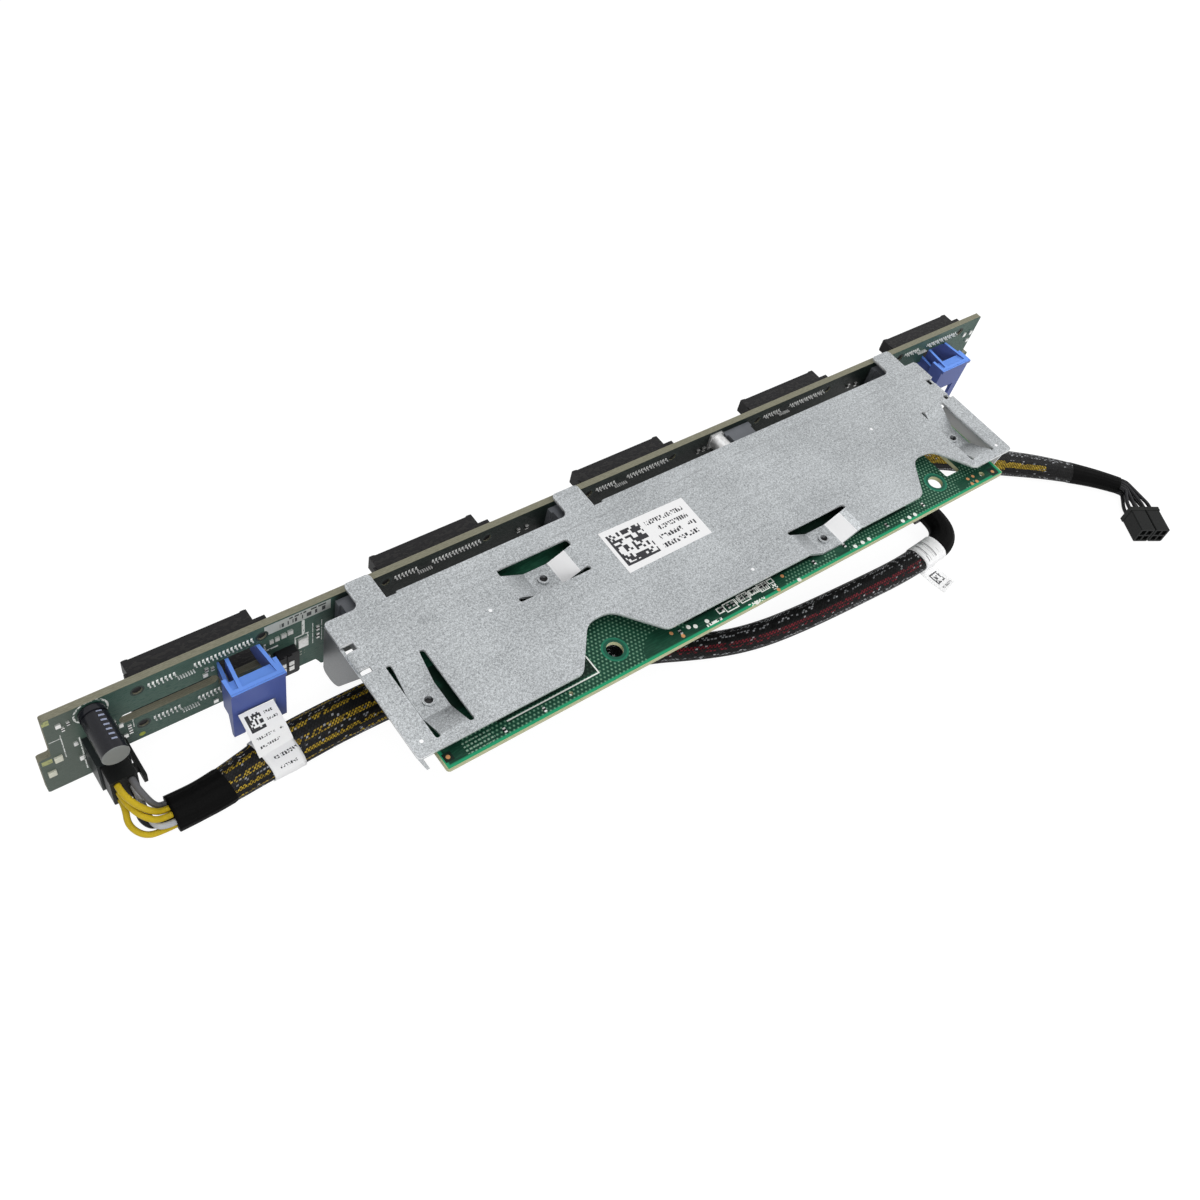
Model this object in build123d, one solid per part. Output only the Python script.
from build123d import *
import math
import os

# Drive backplane: a long circuit board on edge, an expander board behind it under a sheet bracket,
# two latches, a power harness and a data cable. Millimetres. While it is built, X runs along the
# board from the middle column's contacts, Y is 0 on the board's near face and grows towards the
# drives, and Z is 0 on the board's middle bottom edge.

# Backplane board
board_t = 2.4
board_top = 29.77
board_past_left = 45.94
board_past_right = 30.94
tab_left_w = 3.65
tab_right_w = 5.0
tab_left_top = 11.67
tab_right_top = 7.8
foot_drop = 6.24
middle_drop = 3.8
left_foot_w = 18.5
right_foot_w = 10.5
middle_inset_left = 4.1
middle_inset_right = 2.2
edge_slope = 2.0
board_corner_r = 0.8

# Columns of drive sockets
columns = 5
column_pitch = 81.28
upper_row_z = 25.84
row_pitch = 17.71
air_slot_left = 26.0
air_slot_right = 4.5
air_slot_h = 4.3
air_slot_drop = 11.69

# Contacts of one socket: seven, a gap with a second row of seven, then fifteen
contact_pitch = 1.27
short_row_count = 7
contact_gap = 6.35
long_row_count = 15
fine_pitch = 0.8
fine_count = 7
fine_row_drop = 2.18
tail_w = 0.42
tail_d = 0.3
tail_out = 1.3
tail_stagger = 0.35

# Drive socket housing, from the middle of its contacts and its upper row
socket_left = 19.6
socket_right = 19.3
socket_rise = 0.96
socket_t = 5.4
socket_depth = 7.6
ear_depth = 8.3
ear_w = 2.1
socket_foot_right = 23.2
socket_foot_left = 20.6
socket_foot_depth = 3.6
socket_foot_inset = 0.25
mouth_h = 2.4
mouth_left = 16.9
mouth_right = 17.1
mouth_floor = 1.6
key_w = 1.3
key_drop = 0.9
peg_x = 19.3
peg_drop = 0.6
peg_hole_r = 1.5
peg_clear = 0.1
peg_reach = 1.9

# Expander board, level, behind the backplane
expander_t = 1.6
expander_top = 25.28
expander_inset_left = 7.35
expander_inset_right = 7.0
expander_rear = -67.1
expander_front = -9.0
expander_corner_r = 1.2
mount_hole_r = 2.9
mount_hole_y = -57.5
mount_hole_inset = 68.55
mount_hole_spacing = 155.8
tool_hole_inset = 9.0
tool_hole_y = -63.4
tool_hole_r = 1.1
test_hole_offset = -22.0
test_hole_y = -63.85
test_hole_r = 0.7
window_inset = 15.9
window_w = 7.6
window_rear = -57.6
window_front = -38.0
window_corner_r = 0.8

# Bracket: one folded sheet over the expander board, its ears clear of the first and last links
sheet_t = 1.0
link_left_gap = 7.7
link_right_gap = 2.46
bracket_rear = -62.3
bracket_front = -8.0
bracket_corner_r = 1.5
tab_reach = 2.0
tab_widths = (9.1, 10.6, 9.5)
tab_inset_left = 16.95
tab_inset_right = 10.95
tab_past_link = 1.22
tab_root_r = 2.6
relief_w = 3.8
relief_d = 0.7
notch_front = (-18.1, -21.0)
notch_rear = (-28.0, -30.0)
notch_depth = 4.3
roll_inset = 2.2
side_flange_drop = 11.5
side_flange_lean = 4.7
ear_front = -8.6
ear_bottom = 6.5
ear_rear = -29.8
ear_toe_w = 7.8
ear_front_r = 2.0
ear_toe_r = 8.0
bay_left_half = 17.1
bay_right_half = 15.4
bay_depth = 15.0
bay_slope_left = 12.5
bay_slope_right = 10.3
bay_inner_r = 7.5
bay_outer_r = 4.0

# Pads pressed down from the bracket onto the expander board
pad_len = 9.4
pad_strip_w = 9.7
pad_hole_r = 1.35
collar_r = 2.1
collar_h = 0.5
strip_half = 13.5
strip_bend_r = 1.2
lance_half = 14.2
lance_w = 1.8
wide_lance_w = 2.9
side_pad_y = -44.7
pad_left_inset = 14.6
pad_right_inset = 13.6
pad_front_offset = -4.5
pad_front_y = -23.9
pad_rear_offset = 94.7
pad_rear_y = -57.3

# Screws of the pads, driven from below
screw_r = 1.35
screw_head_r = 2.8
screw_head_h = 1.9
screw_hole_r = 1.7
screw_tip = 0.9
drive_recess_r = 1.2
drive_recess_depth = 1.0

# Board-to-board connectors
link_pitch = column_pitch
link_count = 4
link_offset = 31.12
link_w = 12.6
link_top = 27.0
link_bottom = 14.6
link_front_d = 8.6
link_rear_d = 17.0
link_groove = 0.8

# Round parts on the backplane
bulk_r = 4.0
bulk_len = 16.2
bulk_inset = 13.2
bulk_z = 25.2
bulk_bung_h = 0.5
bulk_groove_at = 2.2
bulk_groove_depth = 0.35
can_r = 3.15
can_len = 7.4
can_link_gap = 0.51
can_z = 25.1
can_base = 6.6
can_base_h = 0.8

# Power header and plug, two columns of three circuits
circuit_pitch = 4.2
header_inset = 13.5
header_mid_z = 6.7
header_w = 9.6
header_h = 13.8
header_depth = 10.6
header_wall = 0.7
header_floor = 1.5
plug_clear = 0.1
plug_rear = 17.0
plug_tail_r = 1.25
lever_w = 4.0
lever_t = 1.1
lever_gap = 0.7
catch_w = 3.0

# Latches
latch_hole_w = 14.0
latch_gap_left = 16.6
latch_gap_right = 19.8
latch_hole_low = 10.5
latch_hole_high = 22.1
latch_face_y = -12.5
latch_t = 1.3
latch_half = 8.8
latch_top = 22.1
latch_face_low = 10.0
latch_leg_low = -1.6
latch_leg_w = 3.7
latch_shelf_d = 5.0
latch_shelf_t = 1.3
latch_shelf_fall = 0.9
latch_lip = 0.7
latch_arm_t = 1.2
latch_arm_low = 14.5
latch_inner_arm = (-5.2, -4.0)
latch_right_arm = (7.2, 6.1)
latch_left_arm = (-7.6, -6.2)
latch_left_arm_top = 18.6
latch_hook = 0.9
latch_hook_out = 1.6
latch_tongue_top = 20.8
latch_clear = 0.1

# Small parts on the near face: place from an anchor, middle z, width, height, how far each stands out
latch_chips = [
    (3.6, 20.6, 1.3, 1.7, 0.5),
    (5.5, 20.8, 1.4, 1.8, 0.5),
    (7.6, 21.1, 1.7, 1.9, 0.6),
    (9.8, 21.4, 1.8, 1.9, 0.6),
    (13.9, 13.4, 3.2, 4.2, 0.9),
    (-17.9, 18.5, 1.5, 1.7, 0.5),
    (-15.6, 2.5, 1.5, 1.6, 0.5),
]
left_end_chips = [
    (3.9, 25.1, 1.5, 1.7, 0.5),
    (7.1, 13.0, 1.2, 1.7, 0.5),
    (7.6, 4.6, 1.2, 2.2, 0.5),
    (20.1, 12.0, 1.3, 1.7, 0.5),
    (20.9, 5.6, 1.3, 1.7, 0.5),
]
right_end_chips = [
    (-7.1, 22.2, 1.6, 1.9, 0.6),
    (-2.6, 21.9, 1.6, 1.9, 0.6),
    (-2.4, 17.6, 1.8, 1.7, 0.6),
]
choke_past_latch = 7.7
choke_z = 8.4
choke_w = 7.4
choke_h = 11.2
choke_out = 3.0
choke_corner = 0.6
choke_pad_w = 1.7
choke_pad_h = 4.6
choke_pad_x = (-2.2, 0.4)
choke_pad_out = 0.3
lights = [(5.25, 9.2), (2.55, 3.2)]
light_size = 2.4
light_h = 0.8

# Underside of the expander board
chip_offset = 63.5
chip_y = -38.0
chip_size = 25.0
chip_h = 2.0
sink_size = 28.0
sink_base_h = 1.6
sink_fin_h = 5.4
sink_fins = 8
sink_fin_t = 1.0
data_socket_inset = 17.05
data_socket_y = -42.0
data_socket_len = 13.0
data_socket_w = 16.0
data_socket_h = 8.0
data_plug_w = 12.4
data_plug_h = 5.2
data_wall = 1.0
data_plug_in = 8.0
data_plug_out = 6.0

# Cables, which lie on the surface that the board's feet touch
floor_z = -foot_drop
wire_r = 1.0
harness_w = 16.0
harness_h = 8.0
harness_neck_w = 12.4
harness_neck_h = 7.0
data_w = 10.4
data_h = 6.4
free_plug_w = 6.6
free_plug_len = 12.6
free_plug_h = 7.4
free_plug_gap = 0.4
free_plug_rim = 2.0
free_cell_wall = 0.8
free_cell_depth = 4.0
free_plug_angle = 62.0
free_plug_x = 203.5
free_plug_y = -106.6
free_pitch = 3.0
free_wire_r = 0.75
free_wire_lanes = (-2.4, -0.8, 0.8, 2.4)
free_wire_levels = (-1.5, 1.5)
free_data_len = 12.0
free_data_w = 14.0

harness_mid = floor_z + harness_h / 2
free_plug_level = floor_z + free_plug_h / 2 + 0.1
data_mid = floor_z + data_h / 2
column_x = [column_pitch * (n - (columns - 1) / 2) for n in range(columns)]
link_x = [column_x[1] - link_offset + n * link_pitch for n in range(link_count)]
bracket_left = link_x[0] - link_w / 2 - link_left_gap - sheet_t
bracket_right = link_x[-1] + link_w / 2 + link_right_gap + sheet_t
bracket_mid = (bracket_left + bracket_right) / 2
bracket_half = (bracket_right - bracket_left) / 2
tab_x = (bracket_left + tab_inset_left, link_x[1] + tab_past_link, bracket_right - tab_inset_right)
board_left = column_x[0] - board_past_left
board_right = column_x[-1] + board_past_right
tab_left = board_left - tab_left_w
tab_right = board_right + tab_right_w
left_foot_x = board_left + left_foot_w
right_foot_x = board_right - right_foot_w
left_middle_x = bracket_left + middle_inset_left
right_middle_x = bracket_right - middle_inset_right
latch_hole_left = (bracket_left - latch_gap_left - latch_hole_w, bracket_left - latch_gap_left)
latch_hole_right = (bracket_right + latch_gap_right, bracket_right + latch_gap_right + latch_hole_w)
expander_left = bracket_left + expander_inset_left
expander_right = bracket_right - expander_inset_right
mount_left_x = expander_left + mount_hole_inset
mount_right_x = mount_left_x + mount_hole_spacing
tool_hole_x = expander_right - tool_hole_inset
test_hole_x = mount_left_x + test_hole_offset
window_right = expander_right - window_inset
window_left = window_right - window_w
pad_left = (bracket_left + pad_left_inset, side_pad_y)
pad_front = (mount_left_x + pad_front_offset, pad_front_y)
pad_rear = (mount_left_x + pad_rear_offset, pad_rear_y)
pad_right = (bracket_right - pad_right_inset, side_pad_y)
bulk_x = board_left + bulk_inset
can_x = link_x[2] - link_w / 2 - can_link_gap - can_r
header_mid_x = board_left + header_inset
chip_x = mount_left_x + chip_offset
data_socket_x = expander_left + data_socket_inset
mount_x = (mount_left_x + mount_right_x) / 2
seat = Pos(-mount_x, -mount_hole_y, -expander_top)
plate_low = board_top
plate_top = plate_low + sheet_t
pad_top = expander_top + sheet_t
expander_low = expander_top - expander_t
lower_row_z = upper_row_z - row_pitch
contact_start = -(contact_pitch * (short_row_count + long_row_count - 2) + contact_gap) / 2

os.makedirs("parts", exist_ok=True)


def block(x, y, z):
    """Box between pairs of limits."""
    size = [abs(pair[1] - pair[0]) for pair in (x, y, z)]
    return Pos(*[(pair[0] + pair[1]) / 2 for pair in (x, y, z)]) * Box(*size)


def flat(points, low, high):
    """Solid between two levels with a plan outline."""
    return extrude(Plane.XY.offset(low) * make_face(Polyline(points, close=True)), high - low)


def upright(points, near, far):
    """Solid between two Y values with an outline in X and Z."""
    return extrude(Plane.XZ.offset(-near) * make_face(Polyline(points, close=True)), near - far)


def rod(x, z, r, near, far):
    """Cylinder along Y."""
    return Pos(x, (near + far) / 2, z) * Rot(90, 0, 0) * Cylinder(r, abs(far - near))


def post(x, y, r, low, high):
    """Cylinder along Z."""
    return Pos(x, y, (low + high) / 2) * Cylinder(r, abs(high - low))


def group(pieces):
    """Separate solids kept together as one named piece."""
    return Compound(children=[solid for piece in pieces for solid in piece.solids()])


def save(name, shape):
    """Move a finished piece to the expander board's hole pattern and write it."""
    export_step(seat * shape, f"parts/{name}.step")


def board_outline():
    """Corners of the backplane board seen from behind, from its left foot round."""
    return [
        (tab_left, -foot_drop),
        (left_foot_x, -foot_drop),
        (left_foot_x + edge_slope, 0),
        (left_middle_x - edge_slope, 0),
        (left_middle_x, -middle_drop),
        (right_middle_x, -middle_drop),
        (right_middle_x + edge_slope, 0),
        (right_foot_x - edge_slope, 0),
        (right_foot_x, -foot_drop),
        (tab_right, -foot_drop),
        (tab_right, tab_right_top),
        (board_right, tab_right_top),
        (board_right, board_top),
        (board_left, board_top),
        (board_left, tab_left_top),
        (tab_left, tab_left_top),
    ]


def air_slot(x):
    """Round-ended slot between the two sockets of a column."""
    z = upper_row_z - air_slot_drop
    middle = x + (air_slot_right - air_slot_left) / 2
    slot = Plane.XZ * Pos(middle, z) * SlotOverall(air_slot_left + air_slot_right, air_slot_h)
    return extrude(slot, board_t * 2, both=True)


def backplane_board():
    """Board with its feet and end tabs, air slots, latch holes and peg holes."""
    board = upright(board_outline(), 0, board_t)
    board = fillet(board.edges().filter_by(Axis.Y), board_corner_r)
    through = (-board_t, board_t * 2)
    for x in column_x:
        board -= air_slot(x)
        for z in (upper_row_z, lower_row_z):
            for side in (-peg_x, peg_x):
                board -= rod(x + side, z - peg_drop, peg_hole_r, *through)
    for hole in (latch_hole_left, latch_hole_right):
        board -= block(hole, through, (latch_hole_low, latch_hole_high))
    return board


def drive_socket(x, z):
    """Housing of one drive socket with its mouth, guide ears, wide foot and two pegs."""
    top = z + socket_rise
    low = top - socket_t
    front = board_t + socket_depth
    foot_front = board_t + socket_foot_depth
    tip = board_t + ear_depth
    left = x - socket_left
    right = x + socket_right
    foot_z = (low + socket_foot_inset, top - socket_foot_inset)
    foot = block((x - socket_foot_left, x + socket_foot_right), (board_t, foot_front), foot_z)
    body = block((left + ear_w, right - ear_w), (board_t, front), (low, top))
    ears = []
    for side in ((left, left + ear_w), (right - ear_w, right)):
        ear = block(side, (board_t, tip), (low, top))
        ears.append(chamfer(ear.edges().group_by(Axis.Y)[-1], ear_w / 4))
    slot_z = z - fine_row_drop / 2
    mouth_y = (board_t + mouth_floor, tip + 1)
    mouth = block((x - mouth_left, x + mouth_right), mouth_y, (slot_z - mouth_h / 2, slot_z + mouth_h / 2))
    key_z = (slot_z - mouth_h / 2 - key_drop, slot_z)
    key = block((x - mouth_left, x - mouth_left + key_w), mouth_y, key_z)
    socket = foot + body + ears[0] + ears[1] - mouth - key
    for side in (-peg_x, peg_x):
        socket += rod(x + side, z - peg_drop, peg_hole_r - peg_clear, board_t - peg_reach, board_t)
    return socket


def tail_places():
    """X offset and drop of every solder tail of one socket."""
    places = []
    second_start = contact_start + contact_pitch * (short_row_count - 1) + contact_gap
    for start, count in ((contact_start, short_row_count), (second_start, long_row_count)):
        for n in range(count):
            places.append((start + n * contact_pitch, tail_stagger * (n % 2)))
    fine_middle = second_start - contact_gap / 2
    for n in range(fine_count):
        places.append((fine_middle + (n - (fine_count - 1) / 2) * fine_pitch, fine_row_drop))
    return places


def solder_tails(z):
    """Tails of one row of sockets, standing out of the near face."""
    tails = []
    for x in column_x:
        for offset, drop in tail_places():
            side = (x + offset - tail_w / 2, x + offset + tail_w / 2)
            level = (z - drop - tail_d / 2, z - drop + tail_d / 2)
            tails.append(block(side, (-tail_out, 0), level))
    return group(tails)


def expander_board():
    """Expander board with its two mounting holes, pad screw holes, tooling holes and inner window."""
    outline = [
        (expander_left, expander_rear),
        (expander_right, expander_rear),
        (expander_right, expander_front),
        (expander_left, expander_front),
    ]
    board = flat(outline, expander_low, expander_top)
    board = fillet(board.edges().filter_by(Axis.Z), expander_corner_r)
    through = (expander_low - 1, expander_top + 1)
    for x in (mount_left_x, mount_right_x):
        board -= post(x, mount_hole_y, mount_hole_r, *through)
    for x, y in (pad_left, pad_front, pad_rear, pad_right):
        board -= post(x, y, screw_hole_r, *through)
    board -= post(tool_hole_x, tool_hole_y, tool_hole_r, *through)
    board -= post(test_hole_x, test_hole_y, test_hole_r, *through)
    window = block((window_left, window_right), (window_rear, window_front), through)
    return board - fillet(window.edges().filter_by(Axis.Z), window_corner_r)


def bay(x, half, slope):
    """Rear cut-out of the bracket: sloping sides, rounded inside and at the rear edge."""
    apex = half - slope
    depth = bracket_rear + bay_depth
    beyond = bracket_rear - 2 * bay_outer_r
    points = [
        (x - half - bay_outer_r, beyond),
        (x - half - bay_outer_r, bracket_rear),
        (x - half, bracket_rear),
        (x - apex, depth),
        (x + apex, depth),
        (x + half, bracket_rear),
        (x + half + bay_outer_r, bracket_rear),
        (x + half + bay_outer_r, beyond),
    ]
    face = make_face(Polyline(points, close=True))
    inner = face.vertices().group_by(Axis.Y)[-1]
    widest_r = apex / math.tan(math.atan2(bay_depth, slope) / 2)
    face = fillet(inner, min(bay_inner_r, 0.95 * widest_r))
    mouth = [v for v in face.vertices() if abs(v.Y - bracket_rear) < 0.01 and abs(abs(v.X - x) - half) < 0.01]
    face = fillet(mouth, bay_outer_r)
    return extrude(Plane.XY.offset(plate_low - 1) * face, sheet_t + 2)


def bracket_plate():
    """Flat of the bracket with its tabs, rear bays and side notches."""
    level = (plate_low, plate_top)
    plate = block((bracket_left, bracket_right), (bracket_rear, bracket_front), level)
    plate = fillet(plate.edges().filter_by(Axis.Z), bracket_corner_r)
    for x, w in zip(tab_x, tab_widths):
        tab = block((x - w / 2, x + w / 2), (bracket_front - 2, tab_reach), level)
        plate += fillet(tab.edges().filter_by(Axis.Z).group_by(Axis.Y)[-1], bracket_corner_r)
    root_x = [x - w / 2 for x, w in zip(tab_x, tab_widths)]
    roots = [e for e in plate.edges().filter_by(Axis.Z) if abs(e.center().Y - bracket_front) < 0.01]
    left_roots = [e for e in roots if any(abs(e.center().X - x) < 0.01 for x in root_x)]
    plate = fillet(left_roots, tab_root_r)
    for x, w in list(zip(tab_x, tab_widths))[:-1]:
        relief = (x + w / 2, x + w / 2 + relief_w)
        plate -= block(relief, (bracket_front - relief_d, bracket_front + 1), (plate_low - 1, plate_top + 1))
    plate -= bay(mount_left_x, bay_left_half, bay_slope_left)
    plate -= bay(mount_right_x, bay_right_half, bay_slope_right)
    cut = (plate_low - 1, plate_top + 1)
    for side in (-1, 1):
        edge = bracket_mid + side * bracket_half
        inner = edge - side * notch_depth
        span = (min(inner, edge + side), max(inner, edge + side))
        roll = edge - side * roll_inset
        roll_span = (min(roll, edge + side), max(roll, edge + side))
        for low, high in (notch_front, notch_rear):
            plate -= block(span, (high, low), cut)
        plate -= block(roll_span, (notch_rear[0], notch_front[1]), cut)
    return plate


def turned(middle, along_x):
    """Place of a bridge, along X or along Y."""
    return Pos(*middle) * Rot(0, 0, 0 if along_x else 90)


def bridge(middle, along_x):
    """Strip pressed down between two lances to a level pad with a threaded collar."""
    low = plate_low - (plate_top - pad_top)
    half_pad = pad_len / 2
    end = strip_half + strip_bend_r
    top_line = [
        (-end, plate_top),
        (-strip_half, plate_top),
        (-half_pad, pad_top),
        (half_pad, pad_top),
        (strip_half, plate_top),
        (end, plate_top),
    ]
    low_line = [
        (end, plate_low),
        (strip_half, plate_low),
        (half_pad, low),
        (-half_pad, low),
        (-strip_half, plate_low),
        (-end, plate_low),
    ]
    face = make_face(Polyline(top_line + low_line, close=True))
    face = fillet([v for v in face.vertices() if abs(v.X) < strip_half + 0.1], strip_bend_r)
    strip = extrude(Plane.XZ.offset(-pad_strip_w / 2) * face, pad_strip_w)
    strip += post(0, 0, collar_r, pad_top, pad_top + collar_h)
    strip -= post(0, 0, pad_hole_r, low - 1, pad_top + 2)
    return turned(middle, along_x) * strip


def lanced_hole(middle, along_x, far_w):
    """Opening in the plate for one bridge: its strip and a round-ended lance on each side of it."""
    level = (plate_low - 1, plate_top + 1)
    half_w = pad_strip_w / 2
    hole = block((-strip_half, strip_half), (-half_w - 0.1, half_w + 0.1), level)
    for near, far in ((-half_w - lance_w, -half_w), (half_w, half_w + far_w)):
        lance = block((-lance_half, lance_half), (near, far), level)
        hole += fillet(lance.edges().filter_by(Axis.Z), min(lance_w, far_w) / 2.2)
    return turned(middle, along_x) * hole


def ear(side):
    """Upright ear at one end of the bracket, with the rolled bend that carries it."""
    outer = bracket_mid + side * bracket_half
    inner = outer - side * sheet_t
    toe = ear_front - ear_toe_w
    points = [
        (ear_front, plate_low - 0.4),
        (ear_front, ear_bottom),
        (toe, ear_bottom),
        (ear_rear, plate_low - 0.4),
    ]
    face = make_face(Polyline(points, close=True))
    corners = face.vertices().group_by(Axis.Y)[0].sort_by(Axis.X)
    face = fillet(corners[-1], ear_front_r)
    foot = [v for v in face.vertices() if abs(v.X - toe) < 0.01 and abs(v.Y - ear_bottom) < 0.01]
    face = Plane.YZ.offset(min(outer, inner)) * fillet(foot, ear_toe_r)
    plate = extrude(face, sheet_t)
    roll_y = (notch_rear[0], notch_front[1])
    bend_x = outer - side * roll_inset
    sweep_r = roll_inset
    quarter = block(tuple(sorted((bend_x, outer))), roll_y, (plate_top - sweep_r, plate_top))
    curve = Pos(bend_x, sum(roll_y) / 2, plate_top - sweep_r) * Rot(90, 0, 0)
    length = roll_y[1] - roll_y[0]
    ring = curve * (Cylinder(sweep_r, length) - Cylinder(sweep_r - sheet_t, length + 1))
    return plate + (ring & quarter)


def side_flange(side):
    """Side of the bracket behind the ear, folded down and leaning in."""
    edge = bracket_mid + side * bracket_half
    foot = edge - side * side_flange_lean
    bottom = plate_low - side_flange_drop
    points = [
        (edge, plate_top),
        (edge, plate_low),
        (foot, bottom),
        (foot - side * sheet_t, bottom),
        (edge - side * sheet_t * 1.1, plate_low),
        (edge - side * sheet_t * 1.1, plate_top),
    ]
    return upright(points, bracket_rear + bracket_corner_r, notch_rear[1])


def mounting_bracket():
    """Whole bracket as one folded sheet."""
    sheet = bracket_plate()
    for middle, along_x, far_w in (
        (pad_left, False, lance_w),
        (pad_front, True, wide_lance_w),
        (pad_rear, True, lance_w),
        (pad_right, False, lance_w),
    ):
        sheet = sheet - lanced_hole(middle, along_x, far_w) + bridge(middle, along_x)
    for side in (-1, 1):
        sheet += ear(side)
        sheet += side_flange(side)
    return sheet


def bracket_screws():
    """Pan-head screws through the expander board into the four pads."""
    screws = []
    for x, y in (pad_left, pad_front, pad_rear, pad_right):
        head = post(x, y, screw_head_r, expander_low - screw_head_h, expander_low)
        head = fillet(head.edges().group_by(Axis.Z)[0], screw_head_h / 3)
        shank = post(x, y, screw_r, expander_low, pad_top - screw_tip)
        recess = post(x, y, drive_recess_r, expander_low - screw_head_h, expander_low - screw_head_h + drive_recess_depth)
        screws.append(head + shank - recess)
    return group(screws)


def board_link(x):
    """Right-angle connector from the backplane's near face to the underside of the expander board."""
    half = link_w / 2
    points = [
        (0, link_bottom),
        (0, link_top),
        (-link_front_d, link_top),
        (-link_front_d, expander_low),
        (-link_rear_d, expander_low),
        (-link_rear_d, link_bottom),
    ]
    body = extrude(Plane.YZ.offset(x - half) * make_face(Polyline(points, close=True)), link_w)
    for side in (-1, 1):
        groove = (x + side * half - link_groove, x + side * half + link_groove)
        body -= block(groove, (-link_front_d * 0.75, -link_front_d * 0.25), (link_bottom - 1, link_top + 1))
    return body


def bulk_capacitor():
    """Tall capacitor lying out from the board, with its crimp groove and rubber bung."""
    can = rod(bulk_x, bulk_z, bulk_r, -bulk_bung_h - bulk_len, -bulk_bung_h)
    can = fillet(can.edges().group_by(Axis.Y)[0], bulk_r / 10)
    groove_y = -bulk_bung_h - bulk_groove_at
    ring = rod(bulk_x, bulk_z, bulk_r + 1, groove_y - bulk_groove_depth, groove_y + bulk_groove_depth)
    core = rod(bulk_x, bulk_z, bulk_r - bulk_groove_depth, groove_y - 2, groove_y + 2)
    bung = rod(bulk_x, bulk_z, bulk_r * 0.86, -bulk_bung_h, 0)
    return can - (ring - core) + bung


def can_capacitor():
    """Small metal-can capacitor on its square plastic base."""
    base = block((can_x - can_base / 2, can_x + can_base / 2), (-can_base_h, 0),
                 (can_z - can_base / 2, can_z + can_base / 2))
    base = chamfer(base.edges().filter_by(Axis.Y).group_by(Axis.X)[-1], can_base / 6)
    can = rod(can_x, can_z, can_r, -can_len, -can_base_h)
    return base + fillet(can.edges().group_by(Axis.Y)[0], can_r / 8)


def power_header():
    """Open box header with a catch for the plug's lever."""
    x = (header_mid_x - header_w / 2, header_mid_x + header_w / 2)
    z = (header_mid_z - header_h / 2, header_mid_z + header_h / 2)
    wall = header_wall
    outer = block(x, (-header_depth, 0), z)
    inner = block((x[0] + wall, x[1] - wall), (-header_depth - 1, -header_floor), (z[0] + wall, z[1] - wall))
    catch_z = (header_mid_z - catch_w / 2, header_mid_z + catch_w / 2)
    catch = block((x[1], x[1] + lever_gap), (-header_depth * 0.5, -header_depth * 0.25), catch_z)
    return outer - inner + catch


def circuit_places():
    """Middle of each circuit of the power plug."""
    rows = [header_mid_z + circuit_pitch * n for n in (1, 0, -1)]
    return [(header_mid_x + circuit_pitch * side / 2, z) for z in rows for side in (-1, 1)]


def power_plug():
    """Plug seated in the header, with wire holes in its rear face and a sprung lever on its right."""
    wall = header_wall + plug_clear
    x = (header_mid_x - header_w / 2 + wall, header_mid_x + header_w / 2 - wall)
    z = (header_mid_z - header_h / 2 + wall, header_mid_z + header_h / 2 - wall)
    body = block(x, (-plug_rear, -header_floor - plug_clear), z)
    body = fillet(body.edges().filter_by(Axis.Y), 0.5)
    lever_x = (header_mid_x + header_w / 2 + lever_gap, header_mid_x + header_w / 2 + lever_gap + lever_t)
    lever_z = (header_mid_z - lever_w / 2, header_mid_z + lever_w / 2)
    lever = block(lever_x, (-plug_rear + 0.3, -header_depth * 0.22), lever_z)
    root = block((x[1] - 0.5, lever_x[0] + 0.3), (-header_depth - 2.2, -header_depth - 0.8), lever_z)
    return body + lever + root


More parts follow.
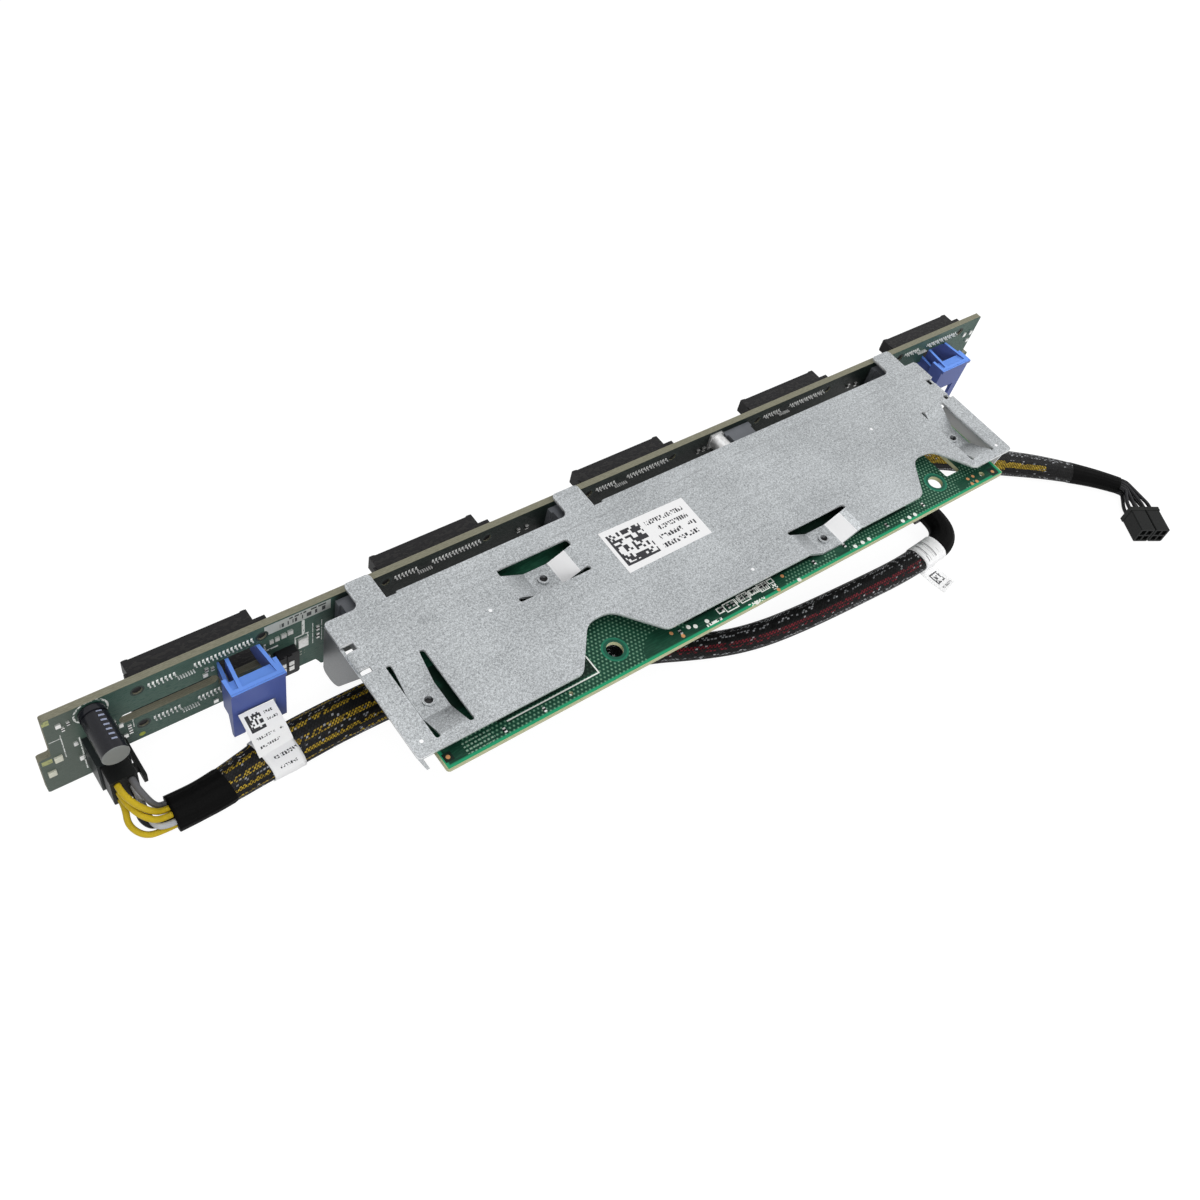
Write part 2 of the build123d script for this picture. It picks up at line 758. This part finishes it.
def latch(hole):
    """One-piece release latch: face, shelf, side wall, legs, two hooked arms and a spring arm."""
    x = (hole[0] + hole[1]) / 2
    half = latch_half
    y = latch_face_y
    face = block((x - half, x + half), (y, y + latch_t), (latch_face_low, latch_top))
    left_leg = block((x - half, x - half + latch_leg_w), (y, y + latch_t), (latch_leg_low, latch_face_low))
    right_leg = block((x + half - latch_leg_w, x + half), (y, y + latch_t), (latch_leg_low, latch_face_low))
    body = face + left_leg + right_leg
    back = y + latch_shelf_d
    shelf = [
        (y - latch_lip, latch_top),
        (back, latch_top - latch_shelf_fall),
        (back, latch_top - latch_shelf_fall - latch_shelf_t),
        (y - latch_lip, latch_top - latch_shelf_t),
    ]
    body += extrude(Plane.YZ.offset(x - half) * make_face(Polyline(shelf, close=True)), 2 * half)
    wall = [
        (y, latch_leg_low),
        (y + latch_t, latch_leg_low),
        (y + 3.0, latch_face_low - 2.5),
        (y + 6.0, latch_face_low - 2.0),
        (y + 6.0, latch_top),
        (y, latch_top),
    ]
    for side in (x - half, x + half - latch_t):
        body += extrude(Plane.YZ.offset(side) * make_face(Polyline(wall, close=True)), latch_t)
    reach = board_t + latch_clear
    tongue_top = min(latch_tongue_top, latch_top)
    for (front, rear), top, side in (
        (latch_inner_arm, latch_top, 0),
        (latch_right_arm, latch_top, 1),
        (latch_left_arm, latch_left_arm_top, -1),
    ):
        half_t = latch_arm_t / 2
        arm = [
            (x + front - half_t, y + latch_t / 2),
            (x + front + half_t, y + latch_t / 2),
            (x + rear + half_t, -latch_clear),
            (x + rear - half_t, -latch_clear),
        ]
        body += flat(arm, latch_arm_low, top)
        if side == 0:
            continue
        arm_x = (x + rear - half_t, x + rear + half_t)
        level = (latch_arm_low, min(tongue_top, top))
        body += block(arm_x, (-latch_clear * 2, reach + latch_hook_out), level)
        edge = x + rear + side * half_t
        hook_x = tuple(sorted((edge, edge + side * latch_hook)))
        body += block(hook_x, (reach, reach + latch_hook_out), level)
    return body


def small_parts():
    """Small surface-mounted parts of the near face."""
    parts = []
    for anchor, chips in (
        (latch_hole_left[1], latch_chips),
        (board_left, left_end_chips),
        (board_right, right_end_chips),
    ):
        for offset, z, w, h, out in chips:
            x = anchor + offset
            parts.append(block((x - w / 2, x + w / 2), (-out, 0), (z - h / 2, z + h / 2)))
    return group(parts)


def choke_part():
    """Moulded choke to the right of the left latch, with two metal tops."""
    x = latch_hole_left[1] + choke_past_latch
    top = choke_z + choke_h / 2
    side_x = (x - choke_w / 2, x + choke_w / 2)
    body = block(side_x, (-choke_out, 0), (choke_z - choke_h / 2, top))
    body = chamfer(body.edges().filter_by(Axis.Y), choke_corner)
    pad_z = (top - choke_corner - choke_pad_h, top - choke_corner)
    for offset in choke_pad_x:
        pad_x = (x + offset - choke_pad_w / 2, x + offset + choke_pad_w / 2)
        body += block(pad_x, (-choke_out - choke_pad_out, -choke_out), pad_z)
    return body


def status_lights():
    """Two square status lights on the left tab."""
    half = light_size / 2
    lamps = []
    for inset, z in lights:
        x = tab_left + inset
        lamp = block((x - half, x + half), (-light_h, 0), (z - half, z + half))
        lamps.append(chamfer(lamp.faces().sort_by(Axis.Y)[0].edges(), light_h / 4))
    return group(lamps)


def expander_chip():
    """Expander chip on the underside."""
    half = chip_size / 2
    return block((chip_x - half, chip_x + half), (chip_y - half, chip_y + half), (expander_low - chip_h, expander_low))


def heat_sink():
    """Finned heat sink hanging under the chip."""
    half = sink_size / 2
    top = expander_low - chip_h
    base_low = top - sink_base_h
    sink = block((chip_x - half, chip_x + half), (chip_y - half, chip_y + half), (base_low, top))
    step = (sink_size - sink_fin_t) / (sink_fins - 1)
    for n in range(sink_fins):
        x = chip_x - half + n * step
        sink += block((x, x + sink_fin_t), (chip_y - half, chip_y + half), (base_low - sink_fin_h, base_low))
    return sink


def data_socket():
    """Right-angle data socket under the expander board, open to the right."""
    x = (data_socket_x - data_socket_len / 2, data_socket_x + data_socket_len / 2)
    y = (data_socket_y - data_socket_w / 2, data_socket_y + data_socket_w / 2)
    z = (expander_low - data_socket_h, expander_low)
    mid = expander_low - data_socket_h / 2
    half_w = data_plug_w / 2 + plug_clear
    half_h = data_plug_h / 2 + plug_clear
    hollow = block((x[1] - data_plug_in - plug_clear, x[1] + 1), (data_socket_y - half_w, data_socket_y + half_w),
                   (mid - half_h, mid + half_h))
    return block(x, y, z) - hollow


def data_plug():
    """Plug seated in the data socket, with a stepped rear where the cable enters."""
    mouth = data_socket_x + data_socket_len / 2
    mid = expander_low - data_socket_h / 2
    front = block((mouth - data_plug_in, mouth + data_wall), (data_socket_y - data_plug_w / 2, data_socket_y + data_plug_w / 2),
                  (mid - data_plug_h / 2, mid + data_plug_h / 2))
    rear = block((mouth + data_wall, mouth + data_plug_out), (data_socket_y - data_plug_w / 2 - 1, data_socket_y + data_plug_w / 2 + 1),
                 (mid - data_plug_h / 2 - 1, mid + data_plug_h / 2 + 1))
    return front + fillet(rear.edges().filter_by(Axis.X), 1.0)


def route_radii(points):
    """Largest arc that each corner of a route allows."""
    radii = []
    for a, b, c in zip(points, points[1:], points[2:]):
        first = Vector(*b) - Vector(*a)
        second = Vector(*c) - Vector(*b)
        turn = math.radians(first.get_angle(second))
        radii.append(0.45 * min(first.length, second.length) / math.tan(turn / 2))
    return radii


def cord(name, points, section):
    """Plain cord along straight runs and tangent arcs; section is a sketch, its x level."""
    radii = route_radii(points)
    path = FilletPolyline(*points, radius=radii)
    start = path % 0
    across = Vector(0, 0, 1).cross(start)
    plane = Plane(origin=path @ 0, x_dir=across, z_dir=start)
    solid = sweep(plane * section, path=path)
    area = section.area
    print(name, "radii", [round(r, 1) for r in radii], "length", round(path.length, 1),
          "volume ratio", round(solid.volume / (area * path.length), 4))
    return solid


def oval(w, h):
    """Flat oval section."""
    return Ellipse(w / 2, h / 2)


# Routes of the cables, chosen by hand from where the cables lie
harness_route = [
    (-150.0, -23.0, harness_mid),
    (-125.0, -21.9, harness_mid),
    (-88.0, -23.2, harness_mid),
    (-42.0, -20.6, harness_mid),
    (8.0, -21.0, harness_mid),
    (56.0, -18.0, harness_mid),
    (92.0, -16.8, harness_mid),
    (116.0, -18.8, harness_mid),
    (132.0, -25.2, harness_mid),
]
harness_start_angle = math.degrees(math.atan2(1.1, 25.0))
harness_end_angle = math.degrees(math.atan2(-6.4, 16.0))
# Tapered lengths of the harness: place, direction in plan, width and height
harness_start_sections = [
    (-169.0, -25.5, 8.0, 12.8, 7.2),
    (-159.5, -24.2, 6.0, 14.2, 7.6),
    (-150.0, -23.0, harness_start_angle, 16.0, 8.0),
]
harness_end_sections = [
    (132.0, -25.2, harness_end_angle, 16.0, 8.0),
    (146.0, -33.6, -33.0, 14.8, 8.0),
    (160.0, -43.6, -35.0, 13.8, 8.0),
    (173.0, -52.6, -33.0, 12.8, 7.9),
    (183.0, -59.6, -37.0, 11.8, 7.8),
    (191.6, -66.6, -41.0, 10.4, 7.6),
    (199.0, -73.4, -44.0, 9.0, 7.2),
]
right_tape_sections = [
    (199.0, -73.4, -44.0, 9.0, 7.2),
    (205.4, -79.8, -48.0, 8.0, 6.8),
    (210.4, -86.0, -57.0, 7.4, 6.4),
]
left_tape_sections = [
    (-186.5, -26.2, 0.0, 12.4, 7.0),
    (-178.0, -26.4, 3.0, 12.2, 7.0),
    (-169.0, -25.5, 8.0, 12.8, 7.2),
]
wire_routes = {
    "power_wire_grey": [(-192.9, -17.0, 10.9), (-192.9, -20.2, 10.9), (-191.5, -22.7, 6.8), (-190.2, -23.0, 2.4),
                        (-188.4, -22.6, -1.5), (-186.5, -22.6, -1.5)],
    "power_wire_yellow_1": [(-197.1, -17.0, 10.9), (-197.1, -20.6, 10.9), (-194.6, -24.2, 7.4), (-191.6, -25.2, 3.0),
                            (-188.8, -24.8, -0.9), (-186.5, -24.8, -0.9)],
    "power_wire_yellow_2": [(-197.1, -17.0, 6.7), (-197.1, -20.4, 6.7), (-195.4, -24.6, 4.4), (-192.4, -27.2, 1.6),
                            (-189.2, -27.0, -0.9), (-186.5, -27.0, -0.9)],
    "power_wire_yellow_3": [(-197.1, -17.0, 2.5), (-197.1, -20.0, 2.5), (-198.6, -24.4, -0.6), (-195.4, -28.6, -3.4),
                            (-189.6, -29.0, -4.0), (-186.5, -29.0, -4.0)],
    "power_wire_white": [(-192.9, -17.0, 6.7), (-192.9, -20.2, 6.7), (-192.7, -22.9, 0.9), (-192.1, -27.7, -1.8),
                         (-189.2, -29.2, -1.8), (-186.5, -29.2, -1.8)],
    "power_wire_black": [(-192.9, -17.0, 2.5), (-192.9, -19.2, 2.5), (-194.8, -22.2, -2.1), (-192.9, -25.8, -4.6),
                         (-189.4, -26.4, -4.2), (-186.5, -26.4, -4.2)],
}
data_mid_plug = expander_low - data_socket_h / 2
data_plug_end = data_socket_x + data_socket_len / 2 + data_plug_out
data_route = [
    (data_plug_end, data_socket_y, data_mid_plug),
    (-86.6, -42.0, data_mid_plug),
    (-80.6, -42.6, data_mid_plug - 3.6),
    (-70.0, -44.8, data_mid + 4.4),
    (-60.0, -47.4, data_mid),
    (-46.0, -52.2, data_mid),
    (-26.0, -58.4, data_mid),
    (0.0, -63.8, data_mid),
    (30.0, -67.8, data_mid),
    (62.0, -69.8, data_mid),
    (88.0, -71.0, data_mid),
    (107.0, -69.6, data_mid),
]
data_tape_route = [
    (107.0, -69.6, data_mid),
    (112.2, -69.217, data_mid),
    (117.0, -65.8, data_mid),
    (119.2, -60.6, data_mid),
    (119.2, -55.6, data_mid),
]


def sleeve(sections):
    """Solid through oval sections that stand across the harness."""
    faces = []
    for x, y, angle, w, h in sections:
        way = Vector(math.cos(math.radians(angle)), math.sin(math.radians(angle)), 0)
        plane = Plane(origin=(x, y, harness_mid), x_dir=Vector(0, 0, 1).cross(way), z_dir=way)
        faces.append(plane * oval(w, h))
    return loft(faces)


def free_plug(offset):
    """Power plug that lies free at the right end, its wire side towards the cable."""
    body = Box(free_plug_len, free_plug_w, free_plug_h)
    body = fillet(body.edges().filter_by(Axis.X), 0.5)
    rim = Pos((free_plug_len - free_plug_rim) / 2, 0, 0) * Box(
        free_plug_rim, free_plug_w + free_plug_gap * 0.7, free_plug_h + 0.2)
    wall = free_cell_wall
    deep = free_cell_depth * 2
    wells = Pos(-free_plug_len / 2, 0, 0) * (
        Box(deep, free_plug_w - 2 * wall, free_plug_h - 2 * wall)
        - Box(deep, wall, free_plug_h) - Box(deep, free_plug_w, wall)
    )
    place = Pos(free_plug_x, free_plug_y, free_plug_level) * Rot(0, 0, free_plug_angle)
    return place * Pos(0, offset * (free_plug_w + free_plug_gap) / 2, 0) * (body + rim - wells)


def free_wires():
    """Eight short wires from the tape's end to the two free plugs."""
    x, y, angle, _, _ = right_tape_sections[-1]
    leave = Vector(math.cos(math.radians(angle)), math.sin(math.radians(angle)), 0)
    enter = Vector(-math.cos(math.radians(free_plug_angle)), -math.sin(math.radians(free_plug_angle)), 0)
    up = Vector(0, 0, 1)
    pitch = (free_plug_w + free_plug_gap) / 2
    ports = [side * pitch + step * free_pitch / 2 for side in (-1, 1) for step in (-1, 1)]
    wires = []
    for lane, port in zip(free_wire_lanes, ports):
        for level in free_wire_levels:
            z = free_plug_level + level
            start = Vector(x, y, z) + up.cross(leave) * lane
            end = Vector(free_plug_x, free_plug_y, z) - enter * (free_plug_len / 2) + up.cross(enter) * port
            points = [start, start + leave * 3.0, end - enter * 3.6, end]
            radii = route_radii([tuple(point) for point in points])
            path = FilletPolyline(*points, radius=radii)
            wires.append(sweep(Plane(origin=start, z_dir=leave) * Circle(free_wire_r), path=path))
    return group(wires)


def free_data_plug():
    """Data plug tucked under the expander board, at the end of the tape."""
    x, y, _ = data_tape_route[-1]
    z = floor_z + data_h / 2
    body = Pos(x, y + free_data_len / 2, z) * Box(free_data_w, free_data_len, data_h)
    return fillet(body.edges().filter_by(Axis.Y), 1.0)


save("backplane_board", backplane_board())
for row, level in (("upper", upper_row_z), ("lower", lower_row_z)):
    save(f"solder_tails_{row}", solder_tails(level))
    for n, x in enumerate(column_x):
        save(f"drive_socket_{row}_{n + 1}", drive_socket(x, level))
save("expander_board", expander_board())
save("mounting_bracket", mounting_bracket())
save("bracket_screws", bracket_screws())
for n, x in enumerate(link_x):
    save(f"board_link_{n + 1}", board_link(x))
save("bulk_capacitor", bulk_capacitor())
save("can_capacitor", can_capacitor())
save("power_header", power_header())
save("power_plug", power_plug())
save("latch_left", latch(latch_hole_left))
save("latch_right", latch(latch_hole_right))
save("small_parts", small_parts())
save("choke", choke_part())
save("status_lights", status_lights())
save("expander_chip", expander_chip())
save("heat_sink", heat_sink())
save("data_socket", data_socket())
save("data_plug", data_plug())

save("harness_tape_left", sleeve(left_tape_sections))
save("harness_sleeve_start", sleeve(harness_start_sections))
save("harness_sleeve", cord("harness_sleeve", harness_route, oval(harness_w, harness_h)))
save("harness_sleeve_end", sleeve(harness_end_sections))
save("harness_tape_right", sleeve(right_tape_sections))
for name, points in wire_routes.items():
    save(name, cord(name, points, Circle(wire_r)))
save("free_plug_left", free_plug(-1))
save("free_plug_right", free_plug(1))
save("free_plug_wires", free_wires())
save("data_sleeve", cord("data_sleeve", data_route, oval(data_w, data_h)))
save("data_tape", cord("data_tape", data_tape_route, oval(data_w, data_h)))
save("data_plug_free", free_data_plug())
